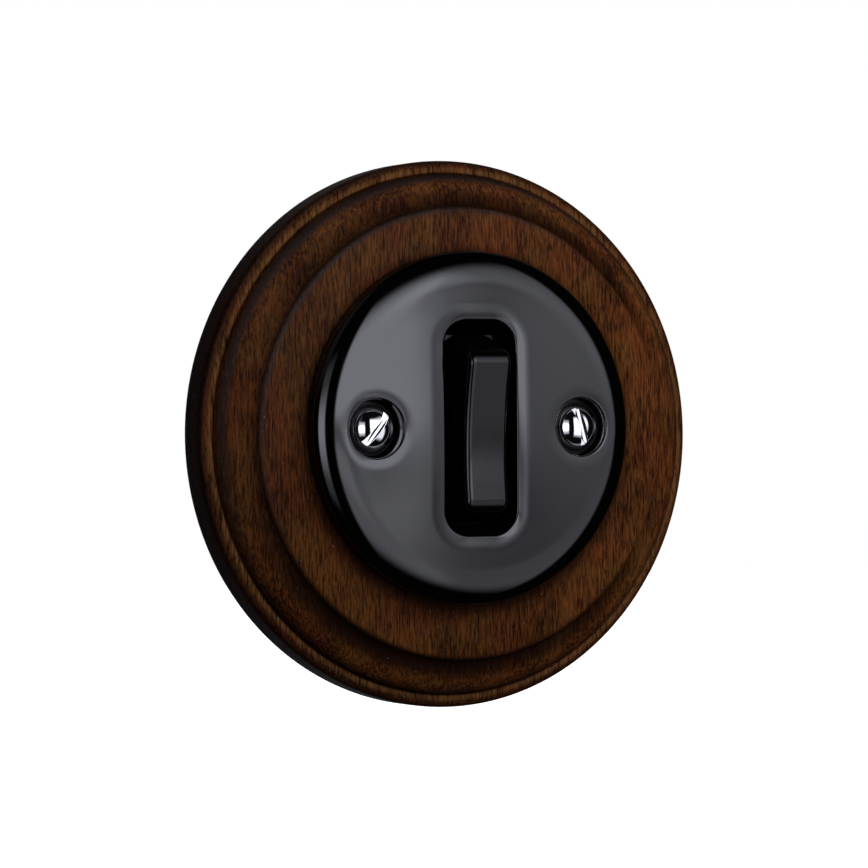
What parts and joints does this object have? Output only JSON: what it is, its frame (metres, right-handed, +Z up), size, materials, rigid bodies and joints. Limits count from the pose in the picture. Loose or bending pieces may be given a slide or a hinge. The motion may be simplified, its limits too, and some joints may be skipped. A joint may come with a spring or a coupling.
{
  "type": "light switch",
  "caption": "Round flush wall switch with a black glazed porcelain cover, a hollow-faced rocker and a turned, stained wooden frame.",
  "frame": {"origin": "on the switch's axis, in the plane of the wall, midway between the two slots for the wall box's screws", "axes": "+X right and +Z up as seen from the room, +Y into the wall, so the front faces -Y"},
  "size_m": [0.1, 0.0428, 0.1],
  "materials": {
    "stained_wood": "stained and lacquered, satin",
    "black_glaze": "gloss glaze",
    "black_plastic": "gloss",
    "chrome": "polished",
    "zinced_steel": "zinc plated",
    "spring_steel": "drawn wire",
    "brass": "rolled",
    "silver": "satin",
    "steatite": "unglazed",
    "fibre": "matt"
  },
  "bodies": {
    "base": {"wood_frame": "stained_wood", "porcelain_cover": "black_glaze", "cover_screws": "chrome", "cover_posts": "zinced_steel", "support_plate": "zinced_steel", "insulating_sheet": "fibre", "base_rivets": "brass", "switch_base": "steatite", "common_terminal": "brass", "upper_terminal": "brass", "lower_terminal": "brass", "fixed_contact_tips": "silver", "terminal_clamps": "zinced_steel", "terminal_screws": "zinced_steel", "rocker_axle": "zinced_steel"},
    "rocker": {"rocker": "black_plastic"},
    "plunger": {"plunger": "brass", "plunger_spring": "spring_steel"},
    "contact": {"moving_contact": "brass", "moving_contact_tips": "silver"}
  },
  "joints": [
    {"name": "rocker_tilt", "type": "hinge", "parent": "base", "child": "rocker", "pos_m": [0, -0.011, 0], "axis": [-1, 0, 0], "range_deg": [0, 8]},
    {"name": "contact_tilt", "type": "hinge", "parent": "base", "child": "contact", "pos_m": [0, 0.008, 0], "axis": [1, 0, 0], "range_deg": [0, 16]},
    {"name": "plunger_slide", "type": "slide", "parent": "rocker", "child": "plunger", "axis": [0, -0.9976, -0.0698], "range_m": [0, 0.0003], "stiffness_N_per_m": 800}
  ],
  "couplings": [
    {"joint": "contact_tilt", "follows": "rocker_tilt", "ratio": 2}
  ]
}
